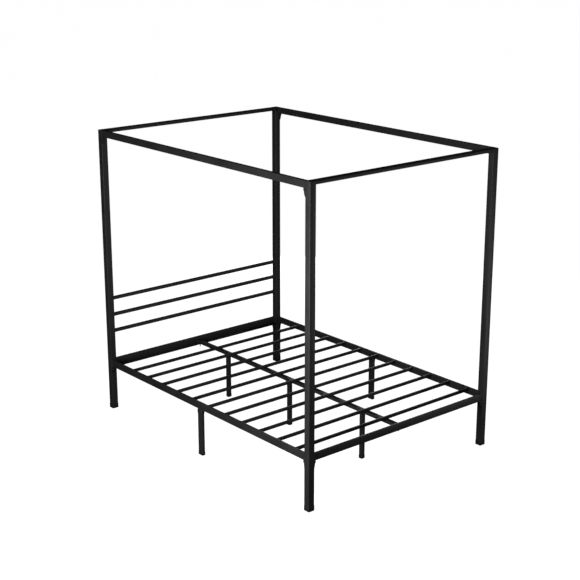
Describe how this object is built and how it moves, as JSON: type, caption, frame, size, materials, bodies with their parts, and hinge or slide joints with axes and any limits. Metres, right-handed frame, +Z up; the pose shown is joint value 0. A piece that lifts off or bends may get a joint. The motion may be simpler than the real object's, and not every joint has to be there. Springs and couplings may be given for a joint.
{
  "type": "four poster canopy bed",
  "caption": "Slim black metal four poster canopy bed: square posts, rectangular tube canopy, low bar headboard, slatted base with a centre rail and legs.",
  "frame": {"origin": "on the floor, under the middle of the bed", "axes": "+X across the bed to its right side as seen from the foot, +Y along the bed towards the headboard, +Z up"},
  "size_m": [1.417, 1.979, 1.82],
  "materials": {
    "powder_coat": "satin black powder coat on steel tube",
    "black_plastic": "fine-grained moulded plastic",
    "nylon": "moulded nylon",
    "black_fastener": "black oxide on steel",
    "plain_steel": "plain steel weld nuts, hidden in the posts"
  },
  "bodies": {
    "root": {"bolt_washers": "black_fastener", "canopy_bolts": "black_fastener", "canopy_end_plates": "powder_coat", "canopy_rail_foot": "powder_coat", "canopy_rail_head": "powder_coat", "canopy_rail_left": "powder_coat", "canopy_rail_right": "powder_coat", "canopy_spigot_screws": "black_fastener", "canopy_spigots": "powder_coat", "centre_leg_cap_foot": "black_plastic", "centre_leg_cap_head": "black_plastic", "centre_leg_cap_middle": "black_plastic", "centre_leg_foot": "powder_coat", "centre_leg_head": "powder_coat", "centre_leg_middle": "powder_coat", "centre_leg_saddles": "powder_coat", "centre_rail": "powder_coat", "centre_rail_bolts": "black_fastener", "centre_rail_nuts": "black_fastener", "centre_rail_plugs": "black_plastic", "foot_rail": "powder_coat", "foot_rail_ledge": "powder_coat", "head_rail": "powder_coat", "head_rail_ledge": "powder_coat", "headboard_bar_bottom": "powder_coat", "headboard_bar_middle": "powder_coat", "headboard_bar_top": "powder_coat", "leg_screws": "black_fastener", "post_foot_cap_foot_left": "black_plastic", "post_foot_cap_foot_right": "black_plastic", "post_foot_cap_head_left": "black_plastic", "post_foot_cap_head_right": "black_plastic", "post_foot_left": "powder_coat", "post_foot_right": "powder_coat", "post_head_left": "powder_coat", "post_head_right": "powder_coat", "post_nuts": "plain_steel", "post_top_caps": "black_plastic", "rail_bolts": "black_fastener", "rail_end_plates": "powder_coat", "side_leg_cap_left": "black_plastic", "side_leg_cap_right": "black_plastic", "side_leg_left": "powder_coat", "side_leg_right": "powder_coat", "side_leg_sockets": "powder_coat", "side_rail_left": "powder_coat", "side_rail_right": "powder_coat", "slat_01": "powder_coat", "slat_02": "powder_coat", "slat_03": "powder_coat", "slat_04": "powder_coat", "slat_05": "powder_coat", "slat_06": "powder_coat", "slat_07": "powder_coat", "slat_08": "powder_coat", "slat_09": "powder_coat", "slat_10": "powder_coat", "slat_11": "powder_coat", "slat_end_sleeves": "nylon"}
  },
  "joints": []
}
